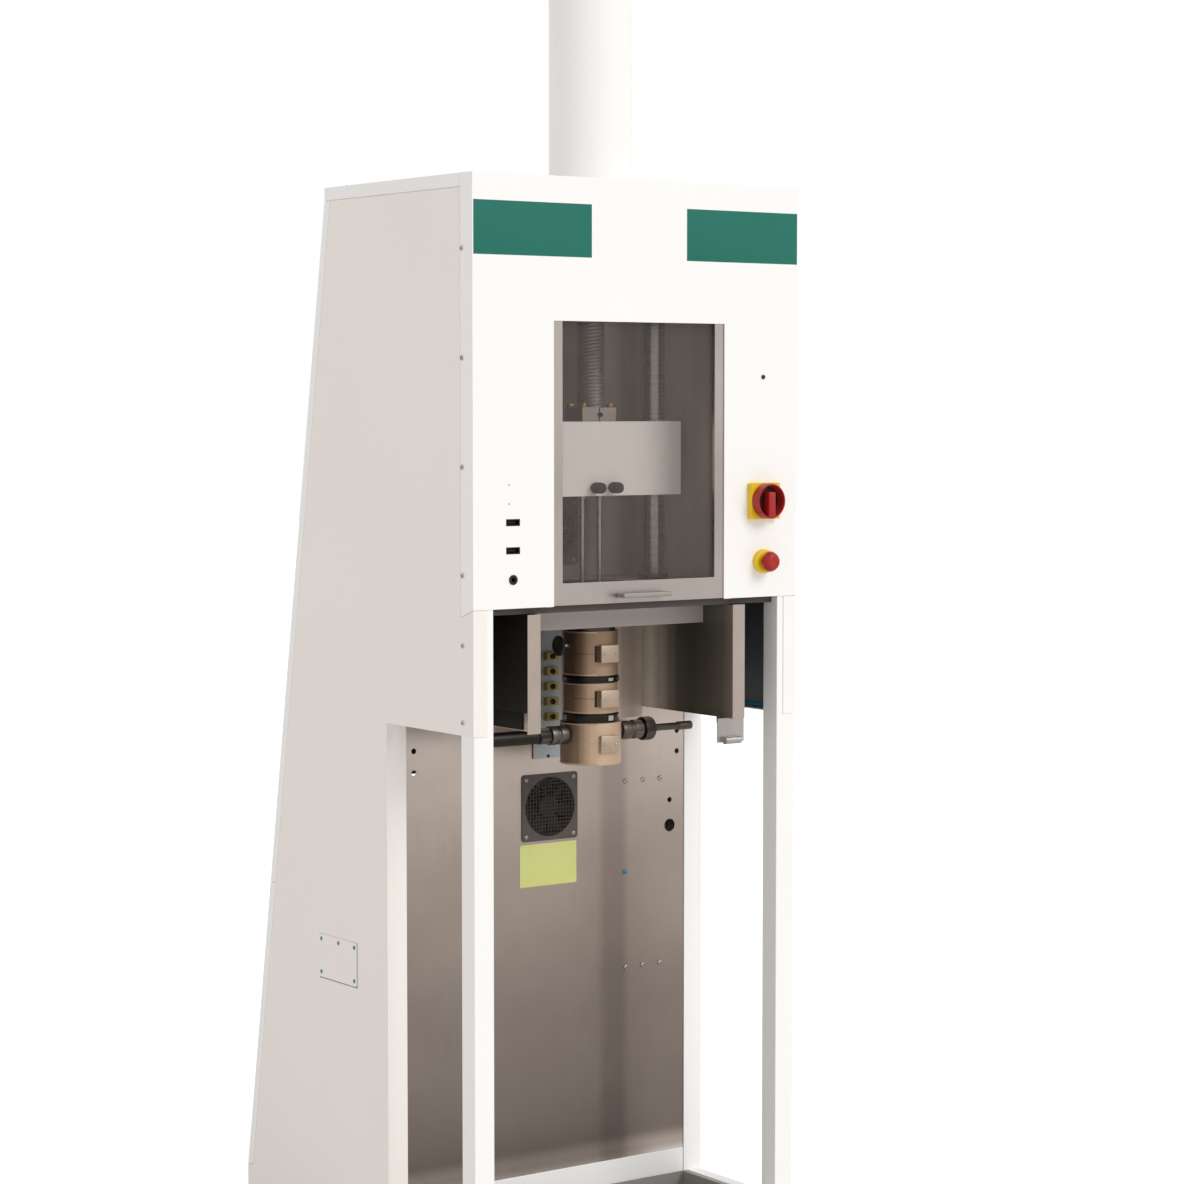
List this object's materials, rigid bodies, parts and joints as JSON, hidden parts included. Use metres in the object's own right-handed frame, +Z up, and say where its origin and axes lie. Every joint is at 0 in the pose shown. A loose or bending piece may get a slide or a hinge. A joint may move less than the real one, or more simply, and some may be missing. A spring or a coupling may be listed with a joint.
{
  "type": "capillary rheometer",
  "caption": "Floor standing capillary rheometer: cabinet with sliding guard door, crosshead with pistons over a heated barrel, open sample bay and a tall screw tube on top.",
  "frame": {"origin": "centre of the footprint's bounding box, on the floor under the levelling feet", "axes": "+X to the right as seen from the front, +Y from the front to the back, +Z up"},
  "size_m": [0.705, 0.834, 2.416],
  "materials": {
    "white_paint": "fine textured powder coat",
    "frame_paint": "smooth powder coat",
    "stainless": "cold rolled stainless sheet",
    "machined_steel": "ground and machined steel",
    "dark_steel": "black oxide",
    "casting": "machined grey casting",
    "heater_bronze": "heat tinted metal sleeve",
    "door_metal": "satin anodised",
    "door_pane": "clear safety glass",
    "black_plastic": "moulded black",
    "yellow_plastic": "moulded yellow",
    "red_plastic": "moulded red",
    "belt_rubber": "toothed belt rubber",
    "knob_steel": "turned bright steel"
  },
  "bodies": {
    "cabinet": {"cabinet_frame": "frame_paint", "levelling_feet": "black_plastic", "front_frame": "frame_paint", "load_frame": "dark_steel", "front_panel": "white_paint", "left_side_panel": "white_paint", "right_side_panel": "white_paint", "top_cover": "white_paint", "upper_rear_cover": "white_paint", "lower_rear_cover": "white_paint", "side_screws": "machined_steel", "side_cover_plate": "white_paint", "lower_back_panel": "stainless", "upper_back_wall": "stainless", "left_chamber_wall": "stainless", "right_chamber_wall": "stainless", "base_tray": "stainless", "platen": "casting", "guide_columns": "machined_steel", "crown_plate": "dark_steel", "nut_housing": "machined_steel", "drive_belt": "belt_rubber", "drive_motor": "dark_steel", "screw_tube": "white_paint", "tube_cap": "white_paint", "barrel": "machined_steel", "die_nuts": "machined_steel", "upper_heater_band": "heater_bronze", "middle_heater_band": "heater_bronze", "lower_heater_band": "heater_bronze", "right_transducer": "machined_steel", "left_transducer": "dark_steel", "thermocouple_sockets": "yellow_plastic", "door_channels": "door_metal", "isolator_plate": "yellow_plastic", "estop_collar": "yellow_plastic", "front_sockets": "black_plastic", "fan_housings": "black_plastic", "guard_brackets": "stainless", "control_box": "frame_paint"},
    "crosshead": {"crosshead_block": "dark_steel", "crosshead_cover": "frame_paint", "guide_bushes": "machined_steel", "screw_clamp": "machined_steel", "ball_screw": "machined_steel", "load_cells": "machined_steel", "left_piston": "machined_steel", "right_piston": "machined_steel"},
    "guard_door": {"door_frame": "door_metal", "door_glass": "door_pane", "door_handle": "door_metal"},
    "screw_nut": {"ball_nut": "machined_steel"},
    "motor_drive": {"motor_pulley": "machined_steel"},
    "isolator": {"isolator_handle": "red_plastic"},
    "stop_button": {"estop_button": "red_plastic"},
    "left_knob": {"left_piston_knob": "knob_steel"},
    "right_knob": {"right_piston_knob": "knob_steel"},
    "side_knob": {"barrel_knob": "black_plastic"},
    "upper_fan": {"upper_fan_rotor": "black_plastic"},
    "lower_fan": {"lower_fan_rotor": "black_plastic"}
  },
  "joints": [
    {"name": "door_slide", "type": "slide", "parent": "cabinet", "child": "guard_door", "axis": [0, 0, 1], "range_m": [0, 0.2]},
    {"name": "crosshead_slide", "type": "slide", "parent": "cabinet", "child": "crosshead", "axis": [0, 0, 1], "range_m": [-0.14, 0.15]},
    {"name": "nut_spin", "type": "hinge", "parent": "cabinet", "child": "screw_nut", "pos_m": [0, -0.229, 1.806], "axis": [0, 0, 1], "range_deg": [-2036, 2180]},
    {"name": "motor_spin", "type": "hinge", "parent": "cabinet", "child": "motor_drive", "pos_m": [0, 0.019, 1.806], "axis": [0, 0, 1], "range_deg": [-4052, 4340]},
    {"name": "isolator_turn", "type": "hinge", "parent": "cabinet", "child": "isolator", "pos_m": [0.2698, -0.401, 1.3942], "axis": [0, 1, 0], "range_deg": [0, 90]},
    {"name": "stop_press", "type": "slide", "parent": "cabinet", "child": "stop_button", "axis": [0, 1, 0], "range_m": [0, 0.005], "stiffness_N_per_m": 400},
    {"name": "left_knob_turn", "type": "hinge", "parent": "crosshead", "child": "left_knob", "pos_m": [-0.019, -0.278, 1.4195], "axis": [0, 1, 0], "range_deg": [-360, 0]},
    {"name": "right_knob_turn", "type": "hinge", "parent": "crosshead", "child": "right_knob", "pos_m": [0.019, -0.278, 1.4195], "axis": [0, 1, 0], "range_deg": [-360, 0]},
    {"name": "side_knob_turn", "type": "hinge", "parent": "cabinet", "child": "side_knob", "pos_m": [-0.067, -0.229, 1.138], "axis": [1, 0, 0], "range_deg": [-360, 0]},
    {"name": "upper_fan_spin", "type": "hinge", "parent": "cabinet", "child": "upper_fan", "pos_m": [0, -0.091, 1.3355], "axis": [0, 1, 0], "continuous": true},
    {"name": "lower_fan_spin", "type": "hinge", "parent": "cabinet", "child": "lower_fan", "pos_m": [0, -0.091, 0.83], "axis": [0, 1, 0], "continuous": true}
  ],
  "couplings": [
    {"joint": "nut_spin", "follows": "crosshead_slide", "rad_per_m": 251.33},
    {"joint": "motor_spin", "follows": "crosshead_slide", "rad_per_m": 502.65}
  ]
}
